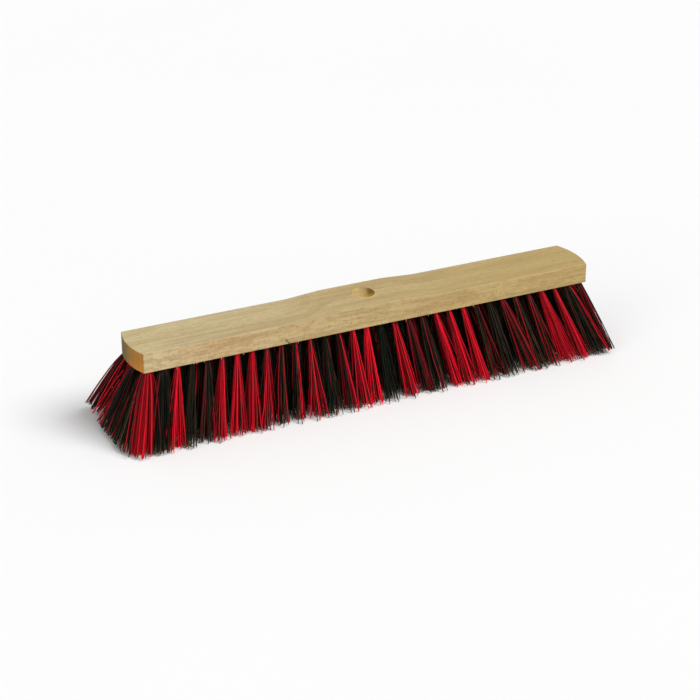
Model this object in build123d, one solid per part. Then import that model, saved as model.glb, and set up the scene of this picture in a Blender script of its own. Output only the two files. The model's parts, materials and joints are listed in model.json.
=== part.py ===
from build123d import *
import math
import os

# A wide push-broom head: a beech block with a slanted socket for the handle, and rows of
# bristle tufts that splay out below it. Millimetres and degrees. The floor that the tips
# stand on is z = 0, X runs along the block, and the handle leans back towards +Y.

# Block
BLOCK_LENGTH = 600.0  # over the crowns of its two bowed ends
BLOCK_WIDTH = 70.0
BLOCK_THICKNESS = 24.0
END_CROWN = 6.6  # how far each end bows out past its corners
CORNER_BREAK = 1.5  # radius of the four upright corners
TOP_BREAK = 1.2  # radius round the top edge
BOTTOM_BREAK = 0.6  # radius round the bottom edge

# Raised seat in the middle of the block's top, where the handle goes in
SEAT_RISE = 3.0
SEAT_HALF_LENGTH = 42.0
SEAT_RAMP = 43.0  # length of the slope from the seat down to the top
RAMP_BLEND = 160.0  # radius that eases each slope in and out

# Handle socket, a slanted blind bore
SOCKET_RADIUS = 14.0
SOCKET_LEAN = 30.0  # from upright
SOCKET_X = 3.0  # centre of its mouth
SOCKET_Y = 5.0
SOCKET_FLOOR = 6.5  # least wood left under it

# Tuft holes
HOLE_RADIUS = 3.5
HOLE_DEPTH = 12.0  # along the hole
HOLE_PITCH = 18.5  # along a row, before it is fitted to the block
ROW_MARGIN = 7.0  # from the block's side to the middle of the outer rows
END_MARGIN = 13.0  # from the block's end to the middle of a row's last hole
SOCKET_WALL = 2.0  # least wood between a tuft hole and the socket

# Tufts
BRISTLE_DROP = 85.0  # from the floor to the block's underside
ROW_SPLAY = 0.43  # how far an outer row's tufts run outwards for each mm that they drop
END_SPLAY = 0.37  # the same along the block, for the last tuft of a row
ROOT_CLEARANCE = 0.1  # between a tuft's root and its hole
ROOT_STRAIGHT = 0.5  # how far a root stays straight once it is clear of the hole
TIP_GAP = 0.6  # between neighbouring tufts at the floor

# Flat-wire anchors, each driven across a folded tuft and into the sides of its hole
ANCHOR_THICKNESS = 0.45
ANCHOR_HEIGHT = 2.4
ANCHOR_BITE = 0.8  # into the wood at each side
ANCHOR_FOLD = 1.2  # bundle of fibres between the anchor and the hole's floor

# Filling order from left to right: R red fibres, D dark fibres, M the two mixed
FILLING = {
    "front_row": "RDRDMRRRMMMMDMRRDRMDRRRMDMDMRRDM",
    "second_row": "DRMRDRDMRDMRRDMRMDRMRDRRMDRRMDR",
    "middle_row": "DMRRMDRRDMRMDRRMRDMRDRMRRDMRDMRD",
    "fourth_row": "RMDRRMDRMRRDMDRMRRDMRMDRRMDRMRD",
    "back_row": "MRDRRMDRRMDDMRRDMRMRRDRMDRRMRDMR",
}
FIBRES = {"R": "red", "D": "dark", "M": "mixed"}

# Worked out
UNDERSIDE = BRISTLE_DROP
TOP = UNDERSIDE + BLOCK_THICKNESS
SEAT_TOP = TOP + SEAT_RISE
OUTER_ROW_Y = BLOCK_WIDTH / 2 - ROW_MARGIN
ROW_SPACING = 2 * OUTER_ROW_Y / (len(FILLING) - 1)
LAST_HOLE_X = BLOCK_LENGTH / 2 - END_MARGIN
LONG_ROW_GAPS = round(2 * LAST_HOLE_X / HOLE_PITCH)
FITTED_PITCH = 2 * LAST_HOLE_X / LONG_ROW_GAPS
TIP_PITCH = FITTED_PITCH * (1 + END_SPLAY * BRISTLE_DROP / LAST_HOLE_X)
ROOT_RADIUS = HOLE_RADIUS - ROOT_CLEARANCE
TIP_RADIUS = (TIP_PITCH - TIP_GAP) / 2 * math.cos(math.atan(END_SPLAY))
LEAN = math.radians(SOCKET_LEAN)
SOCKET_AXIS = Vector(0, math.sin(LEAN), math.cos(LEAN))
SOCKET_MOUTH = Vector(SOCKET_X, SOCKET_Y, SEAT_TOP)
SOCKET_FLOOR_HEIGHT = UNDERSIDE + SOCKET_FLOOR + SOCKET_RADIUS * math.sin(LEAN)
SOCKET_DEPTH = (SEAT_TOP - SOCKET_FLOOR_HEIGHT) / math.cos(LEAN)


def make_blank():
    """The block before it is drilled: bowed ends, a raised seat and softened edges."""
    corner_x = BLOCK_LENGTH / 2 - END_CROWN
    side_y = BLOCK_WIDTH / 2
    outline = [
        Line((-corner_x, -side_y), (corner_x, -side_y)),
        ThreePointArc((corner_x, -side_y), (BLOCK_LENGTH / 2, 0), (corner_x, side_y)),
        Line((corner_x, side_y), (-corner_x, side_y)),
        ThreePointArc((-corner_x, side_y), (-BLOCK_LENGTH / 2, 0), (-corner_x, -side_y)),
    ]
    plan = Pos(0, 0, UNDERSIDE) * make_face(outline)
    foot_x = SEAT_HALF_LENGTH + SEAT_RAMP
    side = make_face(
        Plane.XZ
        * Polyline(
            (-BLOCK_LENGTH / 2, UNDERSIDE),
            (BLOCK_LENGTH / 2, UNDERSIDE),
            (BLOCK_LENGTH / 2, TOP),
            (foot_x, TOP),
            (SEAT_HALF_LENGTH, SEAT_TOP),
            (-SEAT_HALF_LENGTH, SEAT_TOP),
            (-foot_x, TOP),
            (-BLOCK_LENGTH / 2, TOP),
            close=True,
        )
    )
    ramp_ends = side.vertices().filter_by(lambda v: abs(v.X) < BLOCK_LENGTH / 2 and v.Z > UNDERSIDE)
    side = fillet(ramp_ends, RAMP_BLEND)
    blank = extrude(plan, SEAT_TOP - UNDERSIDE) & extrude(side, side_y, both=True)
    blank = fillet(blank.edges().filter_by(Axis.Z), CORNER_BREAK)
    across = blank.edges().filter_by(Axis.Y)
    rim = blank.edges().filter_by(lambda e: e.bounding_box().min.Z > TOP - TOP_BREAK) - across
    blank = fillet(rim, TOP_BREAK)
    lower = blank.edges().filter_by(lambda e: e.bounding_box().max.Z < UNDERSIDE + BOTTOM_BREAK)
    return fillet(lower, BOTTOM_BREAK)


def make_socket():
    """The space that the handle fills, carried on past the mouth's higher side."""
    past_mouth = SOCKET_RADIUS * math.tan(LEAN) + SEAT_RISE
    bore = Cylinder(SOCKET_RADIUS, SOCKET_DEPTH + past_mouth, align=(Align.CENTER, Align.CENTER, Align.MIN))
    return Plane(SOCKET_MOUTH - SOCKET_AXIS * SOCKET_DEPTH, z_dir=SOCKET_AXIS) * bore


def tuft_plane(x, y):
    """A plane at a tuft hole's mouth, whose normal runs up the hole."""
    run_x = END_SPLAY * x / LAST_HOLE_X
    run_y = ROW_SPLAY * y / OUTER_ROW_Y
    return Plane((x, y, UNDERSIDE), x_dir=(1, 0, 0), z_dir=(-run_x, -run_y, 1))


def clears_socket(plane):
    """Whether a tuft hole leaves enough wood between itself and the socket all the way up."""
    for share in (0, 0.5, 1):
        point = plane.origin + plane.z_dir * (HOLE_DEPTH * share)
        from_mouth = point - SOCKET_MOUTH
        depth = -from_mouth.dot(SOCKET_AXIS)
        aside = (from_mouth + SOCKET_AXIS * depth).length
        slant = math.sin(math.radians(plane.z_dir.get_angle(SOCKET_AXIS)))
        near_floor = depth < SOCKET_DEPTH + HOLE_RADIUS * slant + SOCKET_WALL
        if near_floor and aside < SOCKET_RADIUS + HOLE_RADIUS + SOCKET_WALL:
            return False
    return True


def row_holes(index, order):
    """The fibre and the plane of each tuft in a row. Every other row sits half a pitch over."""
    y = -OUTER_ROW_Y + ROW_SPACING * index
    gaps = LONG_ROW_GAPS - index % 2
    for step in range(gaps + 1):
        plane = tuft_plane((step - gaps / 2) * FITTED_PITCH, y)
        if clears_socket(plane):
            yield FIBRES[order[step % len(order)]], plane


def make_hole(plane):
    """A tuft hole, carried on through the underside."""
    past_mouth = 2 * HOLE_RADIUS
    hole = Cylinder(HOLE_RADIUS, HOLE_DEPTH + past_mouth, align=(Align.CENTER, Align.CENTER, Align.MAX))
    return plane.offset(HOLE_DEPTH) * hole


def make_anchor(plane):
    """A flat strip of wire on edge across the hole, its ends in the wood."""
    strip = Box(ANCHOR_THICKNESS, 2 * (HOLE_RADIUS + ANCHOR_BITE), ANCHOR_HEIGHT)
    return plane.offset(HOLE_DEPTH - ANCHOR_FOLD - ANCHOR_HEIGHT / 2) * strip


def make_tuft(plane):
    """A round root that fills its hole and flares to the tips, which are cut off flat at the floor."""
    lean = math.acos(plane.z_dir.Z)
    straight = HOLE_RADIUS * math.tan(lean) + ROOT_STRAIGHT
    reach = BRISTLE_DROP / math.cos(lean)
    flare = (TIP_RADIUS - ROOT_RADIUS) / (reach - straight)
    past_floor = TIP_RADIUS * 2 * math.tan(lean) + ROOT_STRAIGHT
    half = make_face(
        Plane.XZ
        * Polyline(
            (0, HOLE_DEPTH),
            (ROOT_RADIUS, HOLE_DEPTH),
            (ROOT_RADIUS, -straight),
            (TIP_RADIUS + flare * past_floor, -reach - past_floor),
            (0, -reach - past_floor),
            close=True,
        )
    )
    whole = plane * revolve(half, Axis.Z)
    return split(whole, Plane.XY, keep=Keep.TOP) - make_anchor(plane)


def write(name, pieces):
    """One STEP file holding each piece as a solid of its own."""
    solids = [solid for piece in pieces for solid in piece.solids()]
    export_step(Compound(children=solids), f"parts/{name}.step")


os.makedirs("parts", exist_ok=True)
cuts = [make_socket()]
for index, (row, order) in enumerate(FILLING.items()):
    holes = list(row_holes(index, order))
    for fibre in FIBRES.values():
        write(f"{row}_{fibre}_tufts", [make_tuft(plane) for kind, plane in holes if kind == fibre])
    anchors = [make_anchor(plane) for kind, plane in holes]
    write(f"{row}_anchors", anchors)
    cuts += [make_hole(plane) for kind, plane in holes] + anchors
write("block", [make_blank() - cuts])
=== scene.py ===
import json
import math
import random

import bmesh
import bpy
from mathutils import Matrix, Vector


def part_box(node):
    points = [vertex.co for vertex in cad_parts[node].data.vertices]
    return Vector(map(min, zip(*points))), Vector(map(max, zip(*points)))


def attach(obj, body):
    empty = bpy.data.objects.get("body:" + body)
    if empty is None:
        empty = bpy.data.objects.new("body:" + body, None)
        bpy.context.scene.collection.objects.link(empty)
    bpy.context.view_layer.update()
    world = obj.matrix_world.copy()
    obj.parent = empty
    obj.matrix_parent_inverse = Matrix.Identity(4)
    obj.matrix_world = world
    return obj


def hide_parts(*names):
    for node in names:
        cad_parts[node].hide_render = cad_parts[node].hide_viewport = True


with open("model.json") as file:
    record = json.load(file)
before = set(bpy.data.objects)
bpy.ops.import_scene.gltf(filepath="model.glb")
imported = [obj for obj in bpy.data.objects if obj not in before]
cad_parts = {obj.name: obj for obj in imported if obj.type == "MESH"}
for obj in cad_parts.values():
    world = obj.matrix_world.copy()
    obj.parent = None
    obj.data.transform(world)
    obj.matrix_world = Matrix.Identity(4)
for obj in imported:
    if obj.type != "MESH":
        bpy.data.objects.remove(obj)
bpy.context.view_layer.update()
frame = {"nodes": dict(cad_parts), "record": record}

# A push-broom head: a beech block with a slanted socket for its handle, and five rows of
# red and dark bristle tufts. Metres, in the CAD model's frame, with the floor at z = 0.

BLOCK = frame["nodes"]["block"]
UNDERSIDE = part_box("block")[0].z
SOCKET = next(mount for mount in frame["record"]["mounts"] if mount["name"] == "handle_socket")
SOCKET_MOUTH = Vector(SOCKET["pos_m"])
SOCKET_AXIS = Vector(SOCKET["axis"])
SOCKET_RADIUS = SOCKET["dims"]["r_mm"] / 1000

ROWS = ("front_row", "second_row", "middle_row", "fourth_row", "back_row")

# Camera, aimed at a point a little left of the head's middle
CAMERA_AIM = Vector((-0.0214, -0.0094, 0.0470))
CAMERA_AZIMUTH = -26.66
CAMERA_ELEVATION = 25.03
CAMERA_DISTANCE = 2.433
CAMERA_LENS = 104.46

# The strands' colour chart, which every strand takes one column of: reds, then dark fibres
CHART_NAME = "OFBake"
CHART_COLUMNS = 64
CHART_REDS = 32

GOLDEN_ANGLE = math.pi * (3 - math.sqrt(5))


# ---------------------------------------------------------------- node trees


def screen(red, green, blue):
    """A colour given as it looks on a screen, from 0 to 255, in the linear values that nodes take."""
    shares = [part / 255 for part in (red, green, blue)]
    linear = [((part + 0.055) / 1.055) ** 2.4 if part > 0.04 else part / 12.92 for part in shares]
    return (*linear, 1.0)


def is_vector(value):
    return isinstance(value, tuple) or isinstance(value, Value) and value.output.type == "VECTOR"


def find(sockets, key):
    """A socket by its number, its identifier or its name."""
    if isinstance(key, int):
        return sockets[key]
    return next((s for s in sockets if s.identifier == key), None) or sockets[key]


class Value:
    """One output of a node. Sums with it add Math nodes, or Vector Math nodes where a vector is in them."""

    def __init__(self, tree, output):
        self.tree = tree
        self.output = output

    def other(self, key):
        """Another output of the same node."""
        return Value(self.tree, find(self.output.node.outputs, key))

    def __add__(self, other):
        return self.tree.maths("ADD", self, other)

    def __radd__(self, other):
        return self.tree.maths("ADD", other, self)

    def __sub__(self, other):
        return self.tree.maths("SUBTRACT", self, other)

    def __rsub__(self, other):
        return self.tree.maths("SUBTRACT", other, self)

    def __mul__(self, other):
        return self.tree.maths("MULTIPLY", self, other)

    def __rmul__(self, other):
        return self.tree.maths("MULTIPLY", other, self)

    def __truediv__(self, other):
        return self.tree.maths("DIVIDE", self, other)


class Tree:
    """Adds nodes to a node tree and wraps what comes out of them."""

    def __init__(self, tree):
        self.tree = tree

    def node(self, kind, settings=None, inputs=None, output=0):
        """A new node with its settings, then the values or links of its inputs."""
        node = self.tree.nodes.new(kind)
        for name, value in (settings or {}).items():
            if name == "stops":
                self.set_stops(node.color_ramp, value)
            else:
                setattr(node, name, value)
        for key, value in (inputs or {}).items():
            self.feed(find(node.inputs, key), value)
        return Value(self, find(node.outputs, output))

    def set_stops(self, ramp, stops):
        """Gives a colour ramp its stops, each a place and a colour."""
        while len(ramp.elements) < len(stops):
            ramp.elements.new(1.0)
        for element, (place, colour) in zip(ramp.elements, stops):
            element.position = place
            element.color = colour

    def feed(self, socket, value):
        """Links a wrapped value to a socket, or sets a plain one on it."""
        if isinstance(value, Value):
            self.tree.links.new(value.output, socket)
        elif socket.type == "VECTOR" and isinstance(value, (int, float)):
            socket.default_value = (value,) * 3
        else:
            socket.default_value = value

    def maths(self, operation, *values):
        """A Math node, or a Vector Math node where one of its values is a vector."""
        kind = "ShaderNodeVectorMath" if any(is_vector(value) for value in values) else "ShaderNodeMath"
        return self.node(kind, {"operation": operation}, dict(enumerate(values)))

    def length(self, vector):
        return self.node("ShaderNodeVectorMath", {"operation": "LENGTH"}, {0: vector}, "Value")

    def dot(self, a, b):
        return self.node("ShaderNodeVectorMath", {"operation": "DOT_PRODUCT"}, {0: a, 1: b}, "Value")

    def vector(self, x=0.0, y=0.0, z=0.0):
        return self.node("ShaderNodeCombineXYZ", {}, {"X": x, "Y": y, "Z": z})

    def parts(self, vector):
        split = self.node("ShaderNodeSeparateXYZ", {}, {0: vector})
        return split, split.other("Y"), split.other("Z")

    def between(self, value, low, high):
        """How far a value has come from low to high, eased at both ends and held there."""
        inputs = {"Value": value, "From Min": low, "From Max": high}
        return self.node("ShaderNodeMapRange", {"interpolation_type": "SMOOTHSTEP"}, inputs)

    def noise(self, place, scale, detail=2.0, rough=0.5, output=0, settings=None):
        inputs = {"Vector": place, "Scale": scale, "Detail": detail, "Roughness": rough}
        return self.node("ShaderNodeTexNoise", settings, inputs, output)

    def chance(self, number):
        """A random number from 0 to 1 that is the same wherever the given number is."""
        return self.node("ShaderNodeTexWhiteNoise", {"noise_dimensions": "1D"}, {"W": number}, "Value")


class Finish(Tree):
    """A material, whose surface one Principled shader makes."""

    def __init__(self, name):
        self.material = bpy.data.materials.new(name)
        self.material.use_nodes = True
        super().__init__(self.material.node_tree)
        self.shader = next(n for n in self.tree.nodes if n.type == "BSDF_PRINCIPLED")

    def place(self):
        return self.node("ShaderNodeTexCoord", output="Object")

    def mix(self, factor, a, b, blend="MIX"):
        settings = {"data_type": "RGBA", "blend_type": blend}
        inputs = {"Factor_Float": factor, "A_Color": a, "B_Color": b}
        return self.node("ShaderNodeMix", settings, inputs, "Result_Color")

    def ramp(self, factor, *stops):
        return self.node("ShaderNodeValToRGB", {"stops": stops}, {"Fac": factor})

    def surface(self, **inputs):
        """Feeds the shader's inputs, whose names are given with underscores for spaces."""
        for name, value in inputs.items():
            self.feed(self.shader.inputs[name.replace("_", " ")], value)
        return self.material

    def bump(self, height, strength, distance):
        inputs = {"Height": height, "Strength": strength, "Distance": distance}
        return self.node("ShaderNodeBump", {}, inputs)


class Shape(Tree):
    """A Geometry Nodes tree with named inputs."""

    def __init__(self, name, **inputs):
        group = bpy.data.node_groups.new(name, "GeometryNodeTree")
        super().__init__(group)
        self.identifiers = {}
        for key, kind in inputs.items():
            item = group.interface.new_socket(key, in_out="INPUT", socket_type="NodeSocket" + kind)
            self.identifiers[key] = item.identifier
        group.interface.new_socket("Geometry", in_out="OUTPUT", socket_type="NodeSocketGeometry")
        source = group.nodes.new("NodeGroupInput")
        self.given = {key: Value(self, source.outputs[key]) for key in inputs}

    def store(self, geometry, name, value, kind="FLOAT", domain="POINT"):
        settings = {"data_type": kind, "domain": domain}
        inputs = {0: geometry, "Name": name, "Value": value}
        return self.node("GeometryNodeStoreNamedAttribute", settings, inputs)

    def read(self, name, kind="FLOAT"):
        return self.node("GeometryNodeInputNamedAttribute", {"data_type": kind}, {"Name": name})

    def copies(self, geometry, amount):
        """Each point so many times over, and the number of each copy."""
        inputs = {0: geometry, "Amount": amount}
        copied = self.node("GeometryNodeDuplicateElements", {"domain": "POINT"}, inputs)
        return copied, copied.other("Duplicate Index")

    def random(self, low, high, seed, number):
        """A random number from low to high, the same each time for the same seed and number."""
        inputs = {"Min_001": low, "Max_001": high, "ID": number, "Seed": seed}
        return self.node("FunctionNodeRandomValue", {"data_type": "FLOAT"}, inputs, "Value_001")

    def paint(self, geometry, material, where=True):
        inputs = {0: geometry, "Selection": where, "Material": material}
        return self.node("GeometryNodeSetMaterial", {}, inputs)

    def finish(self, geometry):
        end = self.tree.nodes.new("NodeGroupOutput")
        self.feed(end.inputs[0], geometry)
        return self

    def grow(self, name, mesh, **values):
        """Runs the tree on a mesh and returns what it makes as a plain object."""
        seed = bpy.data.objects.new(name, mesh)
        bpy.context.scene.collection.objects.link(seed)
        modifier = seed.modifiers.new(name, "NODES")
        modifier.node_group = self.tree
        for key, value in values.items():
            modifier[self.identifiers[key]] = value
        graph = bpy.context.evaluated_depsgraph_get()
        made = bpy.data.meshes.new_from_object(seed.evaluated_get(graph))
        made.name = name
        bpy.data.objects.remove(seed)
        grown = bpy.data.objects.new(name, made)
        bpy.context.scene.collection.objects.link(grown)
        return grown


# ---------------------------------------------------------------- wood and wire

PITH = Vector((0.0, 0.030, -0.130))  # the heart of the log, below the block
PITH_DRIFT = (0.020, 0.030)  # how far it runs aside and up for each metre of the block
LAYER = 0.0042  # between growth layers
WOOD_PALE = screen(209, 192, 147)
WOOD_LATE = screen(178, 153, 104)
WOOD_ROSY = screen(204, 172, 126)
WOOD_GREY = screen(196, 184, 150)
WOOD_HONEY = screen(190, 163, 98)
WOOD_MOTTLE = screen(162, 131, 82)
WOOD_FLECK = screen(140, 104, 66)
WOOD_END = screen(174, 117, 0)
# painted reflected light from the red bristles, on the ends' lower front corner
WOOD_END_PAINTED_BOUNCE = screen(214, 128, 0)
WOOD_END_DARK = screen(130, 74, 4)
# painted shade on the back part of the ends
WOOD_END_PAINTED_SHADE = screen(70, 62, 0)
# raw drilled wood, paler than the faces, brightened further as painted light inside the socket
WOOD_BORED_PAINTED_LIGHT = screen(255, 228, 138)
SCAR = (-0.0327, -0.035, 0.0951)  # a small dark knot in the front face


def growth_layers(wood, place):
    """How far each spot lies through its growth layer, and how strongly that layer is marked."""
    x, y, z = wood.parts(place)
    sway = wood.noise(place * (2.2, 9.0, 9.0), 1.0, 2.0) - 0.5
    across = y - PITH.y + x * PITH_DRIFT[0] + sway * 0.012
    above = z - PITH.z + x * PITH_DRIFT[1] + sway * 0.009
    years = wood.length(wood.vector(across, above)) / LAYER
    years = years + wood.noise(wood.vector(years * 0.7), 1.0, 1.0) * 2.2
    return wood.maths("FRACT", years), wood.chance(wood.maths("FLOOR", years))


def face_grain(wood, place, side, late, fibre):
    """The planed faces: broad patches, growth lines, and streaks, ribbons and mottle along the grain."""
    x, y, z = wood.parts(place)
    streak = wood.noise(place * (1.6, 70.0, 70.0), 1.0, 3.0, 0.6)
    patch = wood.noise(place * (9.0, 26.0, 26.0), 1.0, 2.0)
    mottle = wood.noise(place * (90.0, 420.0, 330.0), 1.0, 3.0, 0.7)
    ribbon = wood.noise(place * (11.0, 210.0, 210.0), 1.0, 2.0, 0.6)
    colour = wood.mix(wood.between(patch, 0.35, 0.65) * 0.6, WOOD_PALE, WOOD_GREY)
    colour = wood.mix(side * wood.between(patch, 0.3, 0.7) * 0.8, colour, WOOD_ROSY)
    colour = wood.mix(wood.between(x + patch * 0.2, -0.2, 0.35) * 0.85, colour, WOOD_HONEY)
    colour = wood.mix(late * 0.5 * (1 - side * 0.45), colour, WOOD_LATE)
    colour = wood.mix(wood.between(streak, 0.45, 0.66) * 0.5, colour, WOOD_LATE)
    colour = wood.mix(wood.between(streak, 0.47, 0.3) * 0.4 * (1 - side), colour, WOOD_GREY)
    colour = wood.mix(wood.between(fibre, 0.4, 0.8) * 0.3, colour, WOOD_LATE)
    colour = wood.mix(wood.between(ribbon, 0.44, 0.6) * (0.22 + side * 0.24), colour, WOOD_MOTTLE)
    return wood.mix(wood.between(mottle, 0.42, 0.68) * (0.26 + side * 0.32), colour, WOOD_MOTTLE)


def end_grain(wood, place, late, pores):
    """The sawn ends: brown, with painted reflected light making them warmer towards their lower front
    corner, and painted shade making them greyer towards the back.
    """
    x, y, z = wood.parts(place)
    sawn = wood.noise(place * (40.0, 260.0, 26.0), 1.0, 2.0)
    # painted reflected light: warmer towards the lower front corner
    painted_bounce = wood.between(z, UNDERSIDE + 0.018, UNDERSIDE) * wood.between(y, 0.004, -0.028)
    colour = wood.mix(painted_bounce, WOOD_END, WOOD_END_PAINTED_BOUNCE)
    colour = wood.mix(late * 0.4 + wood.between(sawn, 0.35, 0.7) * 0.3, colour, WOOD_END_DARK)
    # painted shade: greyer towards the back
    colour = wood.mix(wood.between(y + sawn * 0.02, -0.014, 0.026) * 0.9, colour, WOOD_END_PAINTED_SHADE)
    return wood.mix(wood.between(pores, 0.28, 0.1) * 0.4, colour, WOOD_END_DARK)


def bored_wall(wood, place):
    """The wall that the drill left in the socket, and how far each spot has its colour, which takes over
    further in as painted light against the socket's shade.
    """
    from_mouth = place - tuple(SOCKET_MOUTH)
    along = wood.dot(from_mouth, tuple(SOCKET_AXIS))
    aside = wood.length(from_mouth - wood.vector(*[along * part for part in SOCKET_AXIS]))
    inside = wood.between(aside, SOCKET_RADIUS + 0.0008, SOCKET_RADIUS + 0.0002)
    deep_painted_light = wood.between(along, -0.001, -0.011)
    turned = wood.noise(wood.vector(along * 900.0, aside * 20.0), 1.0, 2.0)
    colour = wood.mix(wood.between(turned, 0.35, 0.75) * 0.14, WOOD_BORED_PAINTED_LIGHT, WOOD_END_DARK)
    # painted light: the pale bored colour grows stronger deeper in the socket
    return colour, inside * (0.12 + deep_painted_light * 0.88)


def beech():
    """Sawn and sanded beech: faint growth layers, short ray flecks, fine pores and darker end grain."""
    wood = Finish("beech_wood")
    place = wood.place()
    normal = wood.node("ShaderNodeTexCoord", output="Normal")
    facing_x, facing_y = [wood.maths("ABSOLUTE", part) for part in wood.parts(normal)[:2]]
    end = wood.between(facing_x, 0.55, 0.9)
    side = wood.between(facing_y, 0.5, 0.9)
    layer, mark = growth_layers(wood, place)
    late = (wood.between(layer, 0.35, 0.93) - wood.between(layer, 0.95, 1.0)) * (mark * 0.8 + 0.2)
    fibre = wood.noise(place * (34.0, 900.0, 900.0), 1.0, 3.0, 0.65)
    spindles = wood.noise(place * (190.0, 1300.0, 1300.0), 1.0, 0.0)
    rays = wood.noise(place * (380.0, 380.0, 230.0), 1.0, 2.0, 0.6)
    cells = {"Vector": place, "Scale": 1500.0}
    pores = wood.node("ShaderNodeTexVoronoi", {"feature": "F1"}, cells, "Distance")

    colour = face_grain(wood, place, side, late, fibre)
    flecks = wood.between(spindles, 0.62, 0.76) * (1 - side) + wood.between(rays, 0.54, 0.72) * side * 0.8
    colour = wood.mix(flecks * 0.42 * (1 - end), colour, WOOD_FLECK)
    from_scar = wood.length((place - SCAR) * (1.0, 1.0, 2.2)) + wood.noise(place, 900.0) * 0.001
    colour = wood.mix(wood.between(from_scar, 0.0029, 0.0014) * 0.75, colour, WOOD_FLECK)
    colour = wood.mix(end * 0.92, colour, end_grain(wood, place, late, pores))
    bored, bored_share = bored_wall(wood, place)
    colour = wood.mix(bored_share, colour, bored)

    rough = 0.52 + fibre * 0.16 + end * 0.1
    grain = fibre * 0.6 + late * 0.25 + pores * end * 0.5 + spindles * 0.2
    relief = wood.bump(grain, 0.35, 0.0003)
    return wood.surface(Base_Color=colour, Roughness=rough, Normal=relief, Specular_IOR_Level=0.3)


def galvanised_wire():
    """Flat wire with a thin zinc coat, streaked where it was drawn and cut."""
    wire = Finish("galvanised_wire")
    place = wire.place()
    drawn = wire.noise(place * (300.0, 300.0, 5000.0), 1.0, 2.0)
    bloom = wire.noise(place, 900.0, 3.0, 0.6)
    colour = wire.mix(wire.between(bloom, 0.4, 0.7), screen(186, 188, 188), screen(142, 145, 148))
    rough = 0.3 + drawn * 0.2 + bloom * 0.15
    relief = wire.bump(drawn, 0.3, 0.00005)
    return wire.surface(Base_Color=colour, Roughness=rough, Metallic=1.0, Normal=relief)


# ---------------------------------------------------------------- bristles


def chart(fibre):
    """A strand's column of the colour chart, counted from 0, and how far along the strand a spot is."""
    u, v, _ = fibre.parts(fibre.node("ShaderNodeUVMap", {"uv_map": CHART_NAME}))
    return fibre.maths("FLOOR", u * CHART_COLUMNS), v


def draw(fibre, column, salt):
    """A random number from 0 to 1 for each column, another one for each salt."""
    return fibre.chance(column * 1.37 + salt)


def blotches(fibre, column, along, detail, across, down):
    """Noise that runs along each column's strands."""
    place = fibre.vector(column * across, along * down)
    return fibre.noise(place, 1.0, detail, settings={"noise_dimensions": "2D"})


def red_fibre():
    """Extruded red plastic strands, from deep red to bright red, a little dull and dusty at the tips."""
    fibre = Finish("red_strands")
    column, along = chart(fibre)
    shade = (column + 0.5) / CHART_REDS
    colour = fibre.ramp(
        shade,
        (0.0, screen(66, 6, 14)),
        (0.35, screen(118, 8, 20)),
        (0.7, screen(196, 8, 28)),
        (1.0, screen(255, 12, 44)),
    )
    blotch = blotches(fibre, column, along, 2.0, 3.1, 9.0)
    colour = fibre.mix(fibre.between(blotch, 0.5, 0.75) * 0.35, colour, screen(120, 6, 24))
    dust = fibre.between(along, 0.9, 1.0) * draw(fibre, column, 4.2) * 0.3
    colour = fibre.mix(dust, colour, screen(150, 60, 62))
    rough = 0.36 + draw(fibre, column, 9.1) * 0.12 + blotch * 0.1
    return fibre.surface(Base_Color=colour, Roughness=rough, Specular_IOR_Level=0.15)


def dark_fibre():
    """Natural palm strands, near-black with green and brown among them, and a few pale ones."""
    fibre = Finish("dark_strands")
    column, along = chart(fibre)
    shade = (column - CHART_REDS + 0.5) / (CHART_COLUMNS - CHART_REDS)
    colour = fibre.ramp(
        shade,
        (0.0, screen(8, 12, 9)),
        (0.36, screen(20, 27, 16)),
        (0.6, screen(44, 38, 22)),
        (0.85, screen(74, 52, 38)),
        (1.0, screen(118, 113, 82)),
    )
    blotch = blotches(fibre, column, along, 3.0, 5.3, 14.0)
    colour = fibre.mix(fibre.between(blotch, 0.45, 0.7) * 0.5, colour, screen(20, 20, 13))
    tip = fibre.between(along, 0.84, 1.0) * fibre.between(draw(fibre, column, 2.7), 0.2, 0.9) * 0.6
    colour = fibre.mix(tip, colour, screen(122, 120, 96))
    rough = 0.5 + draw(fibre, column, 6.6) * 0.2 + blotch * 0.15
    return fibre.surface(Base_Color=colour, Roughness=rough, Specular_IOR_Level=0.12)


STRAND_COUNTS = {"red": 42, "dark": 58, "mixed": 42}  # in a tuft of each filling
RED_STRAND_RADIUS = 0.00060
DARK_STRAND_RADIUS = 0.00048
FILLINGS = {
    "red": {"Radius": RED_STRAND_RADIUS, "Dark_Share": 0.16, "Wave": 0.0008, "Red_Shade": 0.33},
    "dark": {"Radius": DARK_STRAND_RADIUS, "Dark_Share": 0.9, "Wave": 0.0022, "Red_Shade": 0.26},
    "mixed": {"Radius": RED_STRAND_RADIUS, "Dark_Share": 0.58, "Wave": 0.0016, "Red_Shade": 0.17},
}
OUTER_WILDNESS = {"Wild_Share": 0.12, "Wild_Reach": 0.007}  # how many strands stray, and how far
INNER_WILDNESS = {"Wild_Share": 0.4, "Wild_Reach": 0.016}
FIRST_SEED = 90
ROW_SEEDS = 100  # between the seeds of two rows
FILLING_SEEDS = 30  # and of two fillings

# How the tufts differ by their place in the block
END_TUFTS = 0.255  # the tufts further out than this along the block are its end tufts
HIDDEN_FILL = 1.9  # how many times as many strands the tufts take that stand amid others
END_FILL = 2.3  # and the end tufts
END_FLARE = 1.4  # how many times as wide the inner rows' left end tufts fan out along the block
END_FLARE_ACROSS = 1.75  # and all their end tufts across it
OUTER_FLARE = 0.92  # and the outer rows' other tufts along it
OUTER_LEAN = (0.006, 0.0)  # how far the tips of an outer row's left and right end tufts are drawn along
INNER_LEAN = (-0.010, -0.001)  # and of an inner row's
HIDDEN_OPENING = 0.55  # power of the way down that the hidden strands spread with, so below 1 at once
END_OPENING = 0.48
PAINTED_SHADE_HIDDEN_DARK = 0.5  # how many more of the hidden strands are dark, as painted shade among the rows
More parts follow.
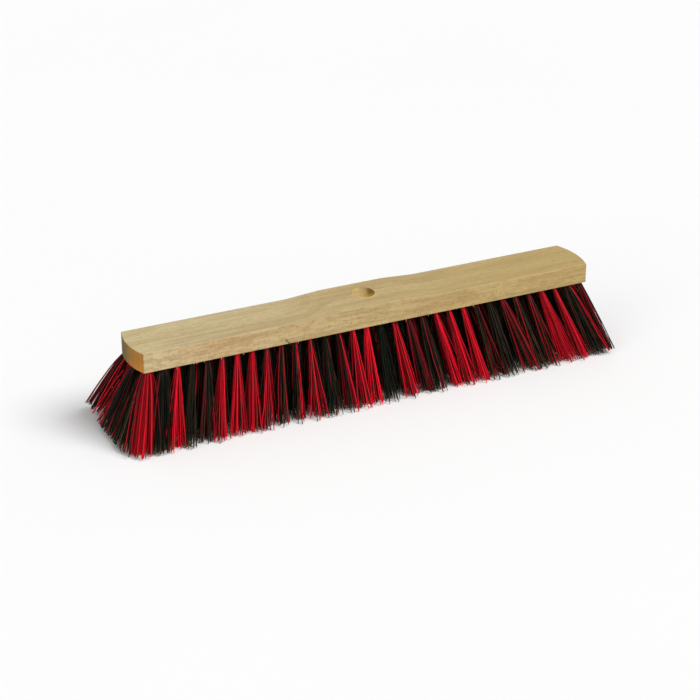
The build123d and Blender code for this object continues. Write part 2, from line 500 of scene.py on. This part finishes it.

# How the strands of a tuft stand
STRAND_STEPS = 9  # points along a strand
STRAND_SIDES = 5
IN_HOLE = 0.07  # how far the strands carry on up the hole, as a share of their free length
ROOT_SPREAD = 0.0023  # radius that the strands' middles fill at the hole
TIP_SPREAD = (0.0148, 0.0155, 0.0)  # and at the floor, along the block and across it
FAN_CORE = 0.32  # share of that spread that the middle strands take
FAN_RIM = 0.6  # and how much more the outermost do
FAN_JITTER = 0.25  # and how far each may stray from its place
TUFT_LEAN = 0.0055  # how far a whole tuft may lean along the block
TUFT_LEAN_ACROSS = 0.002
LOCKS = (0.018, 0.009, 0.0)  # how far the strands are drawn together into locks
TIPS_LOW = (-0.334, -0.079, -1.0)  # no tip stands further out than these
TIPS_HIGH = (0.326, 0.079, 1.0)
TIPS_EASE = (0.312, 1.0, 1.0)  # past these they stand closer together
TIPS_EASED = 0.74  # by this share of the way past them
RIPPLE = 0.35  # how strongly a strand's wave sways to and fro, as a share of its one long bow
RIPPLE_TURNS = 19.0

# How much shorter the strands are cut, as shares of their drop
SHORTEST_CUT = 0.005  # at least
TUFT_CUT = 0.005  # a whole tuft at random
STRAND_CUT = 0.014  # a single strand at random
END_CUT = 0.07  # at the block's two ends
END_CUT_REACH = (0.27, 0.335)
END_CUT_MIDDLE = 0.65  # the share of that in the middle row
END_CUT_GROWTH = 0.35 / 0.065  # and its growth for each metre towards the back
RIGHT_CUT = 0.055  # and at its right end as well
RIGHT_CUT_REACH = (0.285, 0.325)

# How the strands' shades vary, as shares of the way from their darkest to their brightest
TUFT_SHADES = 0.2
RED_STRAND_SHADES = 0.5
DARK_STRAND_SHADES = 0.74
PAINTED_SHADE_ASIDE = 0.45  # painted shade: red strands to the left and right of their tuft's middle are darker, and those in its middle lighter as a painted highlight
# how far aside a red strand stands before its painted highlight turns to painted shade
PAINTED_HIGHLIGHT_MIDDLE = 0.36
PAINTED_SHADE_HIDDEN = 0.3  # and hidden ones too, as painted shade among the rows

# Where a strand lies in its column of the colour chart
CHART_MARGIN = 0.15
CHART_FOOT = 0.03
CHART_RISE = 0.94


def tuft_guides(node):
    """Where each tuft of a CAD node leaves the block, and where its tips' middle is, from left to right."""
    loose = bmesh.new()
    loose.from_mesh(frame["nodes"][node].data)
    bmesh.ops.remove_doubles(loose, verts=loose.verts, dist=1e-6)
    waiting = set(loose.verts)
    guides = []
    while waiting:
        found = [waiting.pop()]
        for vertex in found:
            near = {edge.other_vert(vertex) for edge in vertex.link_edges} & waiting
            waiting -= near
            found.extend(near)
        foot = [vertex.co for vertex in found if vertex.co.z < 1e-4]
        tip = Vector([(min(p[i] for p in foot) + max(p[i] for p in foot)) / 2 for i in range(3)])
        reach = max((vertex.co - tip).length for vertex in found)
        crown = [vertex.co for vertex in found if (vertex.co - tip).length > reach - 2e-4]
        top = sum(crown, Vector()) / len(crown)
        mouth = tip + (top - tip) * ((UNDERSIDE - tip.z) / (top.z - tip.z))
        guides.append((mouth, tip))
    loose.free()
    return sorted(guides, key=lambda guide: guide[0].x)


def is_inner(row):
    return 0 < row < len(ROWS) - 1


def store(mesh, name, kind, values):
    """One number for each vertex of a mesh."""
    mesh.attributes.new(name, kind, "POINT").data.foreach_set("value", list(values))


def guide_mesh(name, guides, strands, row):
    """A vertex at each tuft's mouth that carries where its tips stand, and how it is filled and flared."""
    mesh = bpy.data.meshes.new(name)
    mesh.from_pydata([mouth for mouth, tip in guides], [], [])
    inner = is_inner(row)
    at_end = [abs(mouth.x) > END_TUFTS for mouth, tip in guides]
    lean = INNER_LEAN if inner else OUTER_LEAN
    places = [tip.xyz for mouth, tip in guides]
    for place, end in zip(places, at_end):
        place.x += lean[place.x > 0] * end
    tips = mesh.attributes.new("tip", "FLOAT_VECTOR", "POINT")
    tips.data.foreach_set("vector", [part for place in places for part in place])

    plain_fill = HIDDEN_FILL if inner else 1.0
    fills = [END_FILL if end else plain_fill for end in at_end]
    end_across = END_FLARE_ACROSS if inner else END_FLARE if row else 1.0
    along = [1.0 if end else OUTER_FLARE for end in at_end]
    if inner:
        along = [END_FLARE if place.x < -END_TUFTS else 1.0 for place in places]
    plain_opening = HIDDEN_OPENING if inner else 1.0
    store(mesh, "tuft", "INT", range(len(guides)))
    store(mesh, "strands", "INT", [round(strands * fill) for fill in fills])
    store(mesh, "hidden", "FLOAT", [inner and not end for end in at_end])
    store(mesh, "flare_across", "FLOAT", [end_across if end else 1.0 for end in at_end])
    store(mesh, "flare_along", "FLOAT", along)
    store(mesh, "opening", "FLOAT", [END_OPENING if end else plain_opening for end in at_end])
    return mesh


def scatter(tree, low, high, salt, who):
    """A random number for each strand or tuft, another one for each salt."""
    return tree.random(low, high, tree.given["Seed"] + salt, who)


def stray(tree, reach, salt, who):
    """The same, up to its reach to either side."""
    return scatter(tree, -reach, reach, salt, who)


def strand_tip(tree, strand, tuft, share, unit):
    """How far a strand's tip stands from the middle of its tuft's tips, and how much shorter it is cut."""
    lean = tree.vector(stray(tree, TUFT_LEAN, 1, tuft), stray(tree, TUFT_LEAN_ACROSS, 2, tuft))
    lock_place = unit * 1.3 + tree.vector(tuft * 3.7, tree.given["Seed"] * 1.3, 0.0)
    lock = tree.noise(lock_place, 1.0, 0.0, output="Color") - (0.5, 0.5, 0.5)
    flare = tree.vector(tree.read("flare_along"), tree.read("flare_across"), 0.0)
    flare = flare * scatter(tree, 0.85, 1.12, 3, tuft)
    wild = tree.maths("LESS_THAN", scatter(tree, 0.0, 1.0, 4, strand), tree.given["Wild_Share"])
    jitter = tree.vector(stray(tree, 1.0, 5, strand), stray(tree, 1.0, 6, strand))
    fan = (unit * (share * share * FAN_RIM + FAN_CORE) + jitter * FAN_JITTER) * TIP_SPREAD * flare

    tip = tree.read("tip", "FLOAT_VECTOR")
    end = tip + (fan + lean + lock * LOCKS + jitter * wild * tree.given["Wild_Reach"])
    end = end - tree.maths("MAXIMUM", end - TIPS_EASE, (0.0, 0.0, 0.0)) * TIPS_EASED
    end = tree.maths("MINIMUM", tree.maths("MAXIMUM", end, TIPS_LOW), TIPS_HIGH)

    end_x, end_y, _ = tree.parts(end)
    cut = tree.between(tree.maths("ABSOLUTE", end_x), *END_CUT_REACH) * END_CUT
    cut = cut * (END_CUT_MIDDLE + end_y * END_CUT_GROWTH)
    cut = cut + tree.between(end_x, *RIGHT_CUT_REACH) * RIGHT_CUT
    short = scatter(tree, 0.0, 1.0, 9, strand)
    short = short * short * STRAND_CUT + scatter(tree, 0.0, TUFT_CUT, 10, tuft) + SHORTEST_CUT
    return end - tip, short + cut


def strand_colour(tree, strand, tuft, share, turn):
    """Whether a strand is a dark one, and its column of the colour chart."""
    hidden = tree.read("hidden")
    # painted shade: hidden tufts take more dark strands
    dark_share = tree.given["Dark_Share"] + hidden * PAINTED_SHADE_HIDDEN_DARK
    dark = tree.maths("LESS_THAN", scatter(tree, 0.0, 1.0, 11, strand), dark_share)
    # painted highlight down the middle of each tuft, painted shade to its sides
    aside = tree.maths("ABSOLUTE", tree.maths("COSINE", turn)) * share
    red_shade = tree.given["Red_Shade"] + scatter(tree, 0.0, TUFT_SHADES, 12, tuft)
    red_shade = red_shade + scatter(tree, 0.0, RED_STRAND_SHADES, 13, strand)
    # painted shade: hidden red strands take darker columns
    red_shade = red_shade + (PAINTED_HIGHLIGHT_MIDDLE - aside) * PAINTED_SHADE_ASIDE - hidden * PAINTED_SHADE_HIDDEN
    red_shade = tree.maths("MAXIMUM", tree.maths("MINIMUM", red_shade, 1.0), 0.0)
    dark_shade = scatter(tree, 0.0, 1.0, 15, strand)
    dark_shade = scatter(tree, 0.0, TUFT_SHADES, 14, tuft) + dark_shade * dark_shade * DARK_STRAND_SHADES
    red_column = tree.maths("FLOOR", red_shade * (CHART_REDS - 0.01))
    dark_column = tree.maths("FLOOR", dark_shade * (CHART_COLUMNS - CHART_REDS - 0.01))
    return dark, red_column * (1 - dark) + (CHART_REDS + dark_column) * dark


def strand_tree():
    """Fills each tuft with strands, packed in its hole and fanned out to ragged tips at the floor."""
    tree = Shape(
        "strand_tree",
        Tufts="Geometry",
        Radius="Float",
        Dark_Share="Float",
        Wave="Float",
        Wild_Share="Float",
        Wild_Reach="Float",
        Red_Shade="Float",
        Red="Material",
        Dark="Material",
        Seed="Int",
    )
    given = tree.given
    points = tree.node("GeometryNodeMeshToPoints", {}, {0: given["Tufts"]})
    points = tree.store(points, "mouth", tree.node("GeometryNodeInputPosition"), "FLOAT_VECTOR")
    points, number = tree.copies(points, tree.read("strands", "INT"))

    # One point for each strand, set out in its tuft as seeds are in a sunflower
    strand = tree.node("GeometryNodeInputIndex")
    tuft = tree.read("tuft", "INT")
    share = tree.maths("SQRT", (number + 0.5) / tree.read("strands", "INT"))
    turn = number * GOLDEN_ANGLE + tuft * 1.9 + given["Seed"]
    unit = tree.vector(tree.maths("COSINE", turn) * share, tree.maths("SINE", turn) * share)
    tip_offset, short = strand_tip(tree, strand, tuft, share, unit)
    dark, column = strand_colour(tree, strand, tuft, share, turn)
    bow = tree.vector(stray(tree, 1.0, 7, strand), stray(tree, 1.0, 8, strand)) * given["Wave"]
    points = tree.store(points, "strand", strand, "INT")
    points = tree.store(points, "root_offset", unit * ROOT_SPREAD, "FLOAT_VECTOR")
    points = tree.store(points, "tip_offset", tip_offset, "FLOAT_VECTOR")
    points = tree.store(points, "bow", bow, "FLOAT_VECTOR")
    points = tree.store(points, "reach", 1 - short)
    points = tree.store(points, "column", column)
    points = tree.store(points, "dark", dark)

    # The points along each strand, from up in its hole down to its tip
    points, step = tree.copies(points, STRAND_STEPS)
    along = step / (STRAND_STEPS - 1)
    down = (along * (1 + IN_HOLE) - IN_HOLE) * tree.read("reach")
    free = tree.maths("MAXIMUM", down, 0.0)
    belly = free * (1 - free) * 4
    ripple = tree.maths("SINE", free * RIPPLE_TURNS + tree.read("column")) * free * RIPPLE
    mouth = tree.read("mouth", "FLOAT_VECTOR")
    tip = tree.read("tip", "FLOAT_VECTOR")
    root_offset = tree.read("root_offset", "FLOAT_VECTOR")
    opened = tree.maths("POWER", free, tree.read("opening"))
    spread = (tree.read("tip_offset", "FLOAT_VECTOR") - root_offset) * opened
    bend = tree.read("bow", "FLOAT_VECTOR") * (belly + ripple)
    position = mouth + (tip - mouth) * down + root_offset + spread + bend
    points = tree.store(points, "along", along)
    points = tree.node("GeometryNodeSetPosition", {}, {0: points, "Position": position})
    inputs = {"Points": points, "Curve Group ID": tree.read("strand", "INT"), "Weight": along}
    curves = tree.node("GeometryNodePointsToCurves", {}, inputs)

    # A round section, whose points carry their share of the way round
    inputs = {"Resolution": STRAND_SIDES, "Radius": given["Radius"]}
    section = tree.node("GeometryNodeCurvePrimitiveCircle", {}, inputs)
    section = tree.store(section, "round", tree.node("GeometryNodeInputIndex") / STRAND_SIDES)
    mesh = tree.node("GeometryNodeCurveToMesh", {}, {0: curves, 1: section, "Fill Caps": True})

    # Each strand's column of the colour chart, which its width wraps round
    around = tree.read("round")
    u = (tree.read("column") + CHART_MARGIN + around * (1 - CHART_MARGIN)) / CHART_COLUMNS
    v = CHART_FOOT + tree.read("along") * CHART_RISE + tree.maths("SINE", around * math.tau) * 0.008
    mesh = tree.store(mesh, CHART_NAME, tree.vector(u, v), "FLOAT2", "CORNER")
    mesh = tree.node("GeometryNodeSetShadeSmooth", {}, {0: mesh})
    mesh = tree.node("GeometryNodeRealizeInstances", {}, {0: mesh})
    mesh = tree.paint(mesh, given["Red"])
    mesh = tree.paint(mesh, given["Dark"], tree.maths("GREATER_THAN", tree.read("dark"), 0.5))
    return tree.finish(mesh)


def grow_bristles(red, dark):
    """One piece of strands for each CAD node of tufts."""
    tree = strand_tree()
    for place, row in enumerate(ROWS):
        wildness = INNER_WILDNESS if is_inner(place) else OUTER_WILDNESS
        for number, (kind, filling) in enumerate(FILLINGS.items()):
            node = f"{row}_{kind}_tufts"
            guides = guide_mesh(node + "_guides", tuft_guides(node), STRAND_COUNTS[kind], place)
            seed = FIRST_SEED + ROW_SEEDS * place + FILLING_SEEDS * number
            name = f"{row}_{kind}_bristles"
            piece = tree.grow(name, guides, Red=red, Dark=dark, Seed=seed, **filling, **wildness)
            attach(piece, "root")
            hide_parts(node)


# ---------------------------------------------------------------- loose ends

SPLINTERS = 26  # wood fibres torn at the block's lower edges
SPLINTER_REACH = 0.275  # how far out along the block they hang
SPLINTER_EDGE = (0.0343, 0.0349)  # and across it
SPLINTER_LENGTHS = (0.0022, 0.0052)
SPLINTER_RADII = (0.00025, 0.0005)
SPLINTER_CURL = 0.0007
STRAY_ROUTES = (  # dark strands bent back up against the block, one at its front and one behind
    ((-0.1010, -0.0290, 0.0860), (-0.0995, -0.0345, 0.0765), (-0.1015, -0.0388, 0.0738),
     (-0.1062, -0.0395, 0.0780), (-0.1124, -0.0376, 0.0849), (-0.1181, -0.0362, 0.0916)),
    ((0.1208, 0.0290, 0.0860), (0.1225, 0.0350, 0.0775), (0.1250, 0.0392, 0.0742),
     (0.1290, 0.0390, 0.0790), (0.1322, 0.0374, 0.0850), (0.1341, 0.0361, 0.0893)),
)
STRAY_STEPS = 4  # points from one of a route's points to the next
STRAY_SHADES = (6, 11)  # each one's column of the colour chart, past the reds


def bend(before, start, end, after, share):
    """A point a share of the way from start to end, on a smooth line that also heeds their neighbours."""
    out = (end - before) / 2
    into = (after - start) / 2
    turn = 2 * (start - end) + out + into
    return start + out * share + (-3 * (start - end) - 2 * out - into) * share**2 + turn * share**3


def sweep(mesh, points, radii, sides):
    """A closed round rod through the points, of a given radius at each, and the corners of its rings."""
    corners = [math.tau * corner / sides for corner in range(sides)]
    corners = [Vector((math.cos(angle), math.sin(angle), 0.0)) for angle in corners]
    rings = []
    for number, (point, radius) in enumerate(zip(points, radii)):
        ahead = points[min(number + 1, len(points) - 1)] - points[max(number - 1, 0)]
        turn = ahead.to_track_quat("Z", "Y")
        rings.append([mesh.verts.new(point + turn @ corner * radius) for corner in corners])
    for low, high in zip(rings, rings[1:]):
        for corner in range(sides):
            after = (corner + 1) % sides
            mesh.faces.new((low[corner], low[after], high[after], high[corner]))
    mesh.faces.new(rings[0][::-1])
    mesh.faces.new(rings[-1])
    return rings


def add_piece(name, mesh, material):
    """Turns loose mesh data into a smooth piece of the head."""
    made = bpy.data.meshes.new(name)
    mesh.to_mesh(made)
    mesh.free()
    made.shade_smooth()
    made.materials.append(material)
    piece = bpy.data.objects.new(name, made)
    bpy.context.scene.collection.objects.link(piece)
    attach(piece, "root")


def add_splinters(wood):
    """Short pale slivers that hang where the saw and the drill tore the block's lower edges."""
    chance = random.Random(11)
    mesh = bmesh.new()
    for number in range(SPLINTERS):
        side = -1 if number % 2 else 1
        along = chance.uniform(-SPLINTER_REACH, SPLINTER_REACH)
        foot = Vector((along, side * chance.uniform(*SPLINTER_EDGE), UNDERSIDE + 0.0009))
        sway = chance.uniform(-1.0, 1.0)
        hang = Vector((sway, side * chance.uniform(0.7, 1.4), -chance.uniform(0.4, 1.1))).normalized()
        length = chance.uniform(*SPLINTER_LENGTHS)
        curl = Vector((chance.uniform(-1.0, 1.0), side * 0.5, 0.3)) * SPLINTER_CURL
        points = [foot, foot + hang * length * 0.55 + curl, foot + hang * length + curl * 0.4]
        radius = chance.uniform(*SPLINTER_RADII)
        sweep(mesh, points, (radius, radius * 0.8, 0.00005), 5)
    add_piece("splinters", mesh, wood)


def add_stray_strands(dark):
    """Two dark strands that stand up against the block, smoothly bent through their routes."""
    mesh = bmesh.new()
    chart_layer = mesh.loops.layers.uv.new(CHART_NAME)
    for route, shade in zip(STRAY_ROUTES, STRAY_SHADES):
        route = [Vector(point) for point in route]
        spans = zip(route[:1] + route, route, route[1:], route[2:] + route[-1:])
        points = [bend(*span, step / STRAY_STEPS) for span in spans for step in range(STRAY_STEPS)]
        points.append(route[-1])
        rings = sweep(mesh, points, [DARK_STRAND_RADIUS] * len(points), STRAND_SIDES)
        for along, ring in enumerate(rings):
            for corner, vertex in enumerate(ring):
                for loop in vertex.link_loops:
                    u = (CHART_REDS + shade + CHART_MARGIN + 0.7 * corner / STRAND_SIDES) / CHART_COLUMNS
                    loop[chart_layer].uv = (u, CHART_FOOT + CHART_RISE * along / len(rings))
    add_piece("stray_strands", mesh, dark)


# ---------------------------------------------------------------- studio


def make_floor():
    """A wide sheet of pale paper."""
    paper = Finish("pale_floor")
    tone = paper.noise(paper.place(), 1.5, 2.0)
    colour = paper.mix(tone, (0.95, 0.95, 0.95, 1.0), (0.97, 0.97, 0.97, 1.0))
    paper.surface(Base_Color=colour, Roughness=0.9)
    mesh = bpy.data.meshes.new("floor")
    reach = 30.0
    corners = [(-reach, -reach, 0), (reach, -reach, 0), (reach, reach, 0), (-reach, reach, 0)]
    mesh.from_pydata(corners, [], [(0, 1, 2, 3)])
    mesh.materials.append(paper.material)
    floor = bpy.data.objects.new("floor", mesh)
    bpy.context.scene.collection.objects.link(floor)


def add_lamp(name, toward, strength, softness):
    """A lamp so far off that its light is even, shining from a direction, with soft shadows."""
    lamp = bpy.data.lights.new(name, "SUN")
    lamp.energy = strength
    lamp.angle = math.radians(softness)
    holder = bpy.data.objects.new(name, lamp)
    holder.rotation_mode = "QUATERNION"
    holder.rotation_quaternion = (-Vector(toward)).to_track_quat("-Z", "Y")
    bpy.context.scene.collection.objects.link(holder)


def make_lights():
    """A broad key lamp from the right, a weak fill from the left, and an even white room."""
    add_lamp("key_lamp", toward=(0.52, -0.42, 0.74), strength=2.2, softness=32.0)
    add_lamp("fill_lamp", toward=(-0.85, -0.4, 0.4), strength=0.5, softness=40.0)
    world = bpy.data.worlds.new("studio")
    world.use_nodes = True
    backdrop = next(n for n in world.node_tree.nodes if n.type == "BACKGROUND")
    backdrop.inputs["Color"].default_value = (1.0, 1.0, 1.0, 1.0)
    backdrop.inputs["Strength"].default_value = 0.45
    bpy.context.scene.world = world
    bpy.context.scene.view_settings.view_transform = "Standard"


def make_camera():
    """A long lens that looks down on the head from its front left."""
    azimuth = math.radians(CAMERA_AZIMUTH)
    elevation = math.radians(CAMERA_ELEVATION)
    back = Vector((
        math.sin(azimuth) * math.cos(elevation),
        -math.cos(azimuth) * math.cos(elevation),
        math.sin(elevation),
    ))
    lens = bpy.data.cameras.new("camera")
    lens.lens = CAMERA_LENS
    lens.sensor_width = 36.0
    lens.clip_end = 100.0
    camera = bpy.data.objects.new("camera", lens)
    camera.location = CAMERA_AIM + back * CAMERA_DISTANCE
    camera.rotation_mode = "QUATERNION"
    camera.rotation_quaternion = (-back).to_track_quat("-Z", "Y")
    bpy.context.scene.collection.objects.link(camera)
    bpy.context.scene.camera = camera


def dress(node, material):
    """Gives every material slot of a CAD node one material."""
    for material_slot in node.material_slots:
        material_slot.material = material


make_camera()
make_lights()
make_floor()
wood = beech()
dress(BLOCK, wood)
add_splinters(wood)
wire = galvanised_wire()
for row in ROWS:
    dress(frame["nodes"][f"{row}_anchors"], wire)
dark = dark_fibre()
grow_bristles(red_fibre(), dark)
add_stray_strands(dark)
